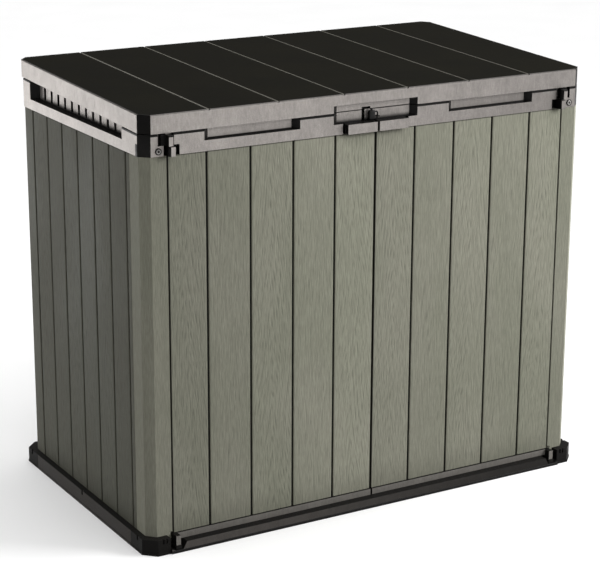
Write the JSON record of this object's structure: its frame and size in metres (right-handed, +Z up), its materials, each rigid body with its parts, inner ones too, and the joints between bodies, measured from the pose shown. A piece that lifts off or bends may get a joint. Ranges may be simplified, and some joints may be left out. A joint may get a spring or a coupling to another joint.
{
  "type": "deck storage box",
  "caption": "Large plank-walled outdoor storage box with a sloping rear-hinged lid, a pair of front doors with recessed pulls, vents and a padlock.",
  "frame": {"origin": "centre of the footprint, on the surface the box stands on", "axes": "+X to the right seen from the front, +Y to the back, the doors face -Y, +Z up"},
  "size_m": [1.4506, 0.863, 1.2305],
  "materials": {
    "green_plank": "grey-green resin planks with an embossed wood grain",
    "beige_trim": "warm grey coating with a brushed grain on black resin",
    "black_plastic": "near-black resin with a fine grain",
    "dark_steel": "dark satin steel",
    "black_lock": "black enamelled metal"
  },
  "bodies": {
    "box": {"floor_panel": "black_plastic", "base_rail_front": "beige_trim", "base_rail_rear": "black_plastic", "base_rail_left": "black_plastic", "base_rail_right": "black_plastic", "base_corner_front_left": "black_plastic", "base_corner_front_right": "black_plastic", "base_corner_rear_left": "black_plastic", "base_corner_rear_right": "black_plastic", "side_wall_left": "green_plank", "side_wall_right": "green_plank", "rear_wall": "green_plank", "corner_post_front_left": "green_plank", "corner_post_front_right": "green_plank", "corner_post_rear_left": "green_plank", "corner_post_rear_right": "green_plank", "header_left": "beige_trim", "header_right": "beige_trim", "header_rear": "black_plastic", "header_corner_front_left": "black_plastic", "header_corner_front_right": "black_plastic", "header_corner_rear_left": "black_plastic", "header_corner_rear_right": "black_plastic", "top_hinge_screw_left": "dark_steel", "top_hinge_pin_left": "dark_steel", "base_hinge_socket_left": "black_plastic", "strut_wall_bracket_left": "black_plastic", "top_hinge_screw_right": "dark_steel", "top_hinge_pin_right": "dark_steel", "base_hinge_socket_right": "black_plastic", "strut_wall_bracket_right": "black_plastic", "lid_hinge_rod": "dark_steel"},
    "lid": {"lid_top_panel": "black_plastic", "lid_rim_front": "beige_trim", "lid_rim_rear": "beige_trim", "lid_rim_left": "beige_trim", "lid_rim_right": "beige_trim", "lid_corner_front_left": "black_plastic", "lid_corner_front_right": "black_plastic", "lid_corner_rear_left": "black_plastic", "lid_corner_rear_right": "black_plastic", "strut_lid_bracket_left": "black_plastic", "strut_lid_bracket_right": "black_plastic"},
    "left_door": {"door_panel_left": "green_plank", "door_top_trim_left": "beige_trim", "door_bottom_trim_left": "beige_trim", "door_pull_left": "beige_trim"},
    "right_door": {"door_panel_right": "green_plank", "door_top_trim_right": "beige_trim", "door_bottom_trim_right": "beige_trim", "door_pull_right": "beige_trim", "lock_tongue": "beige_trim"},
    "shackle": {"padlock_shackle": "black_lock"},
    "lock_body": {"padlock_body": "black_lock"},
    "left_strut_tube": {"strut_cylinder_left": "dark_steel"},
    "left_strut_shaft": {"strut_rod_left": "dark_steel"},
    "right_strut_tube": {"strut_cylinder_right": "dark_steel"},
    "right_strut_shaft": {"strut_rod_right": "dark_steel"}
  },
  "joints": [
    {"name": "lid_hinge", "type": "hinge", "parent": "box", "child": "lid", "pos_m": [0, 0.4205, 1.1795], "axis": [-1, 0, 0], "range_deg": [0, 70]},
    {"name": "left_door_hinge", "type": "hinge", "parent": "box", "child": "left_door", "pos_m": [-0.628, -0.409, 0.59], "axis": [0, 0, -1], "range_deg": [0, 110]},
    {"name": "right_door_hinge", "type": "hinge", "parent": "box", "child": "right_door", "pos_m": [0.628, -0.409, 0.59], "axis": [0, 0, 1], "range_deg": [0, 110]},
    {"name": "padlock_swing", "type": "hinge", "parent": "right_door", "child": "shackle", "pos_m": [0.0088, -0.3922, 1.1369], "axis": [0, 0, 1], "range_deg": [0, 75]},
    {"name": "padlock_release", "type": "slide", "parent": "shackle", "child": "lock_body", "axis": [-1, 0, 0], "range_m": [0, 0.008]},
    {"name": "left_strut_pivot", "type": "hinge", "parent": "box", "child": "left_strut_tube", "pos_m": [-0.6495, 0.28, 0.96], "axis": [-1, 0, 0], "range_deg": [0, 11.49]},
    {"name": "left_strut_slide", "type": "slide", "parent": "left_strut_tube", "child": "left_strut_shaft", "axis": [0, 0.0905, 0.9959], "range_m": [0, 0.1267]},
    {"name": "right_strut_pivot", "type": "hinge", "parent": "box", "child": "right_strut_tube", "pos_m": [0.6495, 0.28, 0.96], "axis": [-1, 0, 0], "range_deg": [0, 11.49]},
    {"name": "right_strut_slide", "type": "slide", "parent": "right_strut_tube", "child": "right_strut_shaft", "axis": [0, 0.0905, 0.9959], "range_m": [0, 0.1267]}
  ],
  "couplings": [
    {"joint": "left_strut_pivot", "follows": "lid_hinge", "ratio": 0.1641},
    {"joint": "left_strut_slide", "follows": "lid_hinge", "m_per_rad": 0.10364},
    {"joint": "right_strut_pivot", "follows": "lid_hinge", "ratio": 0.1641},
    {"joint": "right_strut_slide", "follows": "lid_hinge", "m_per_rad": 0.10364}
  ]
}
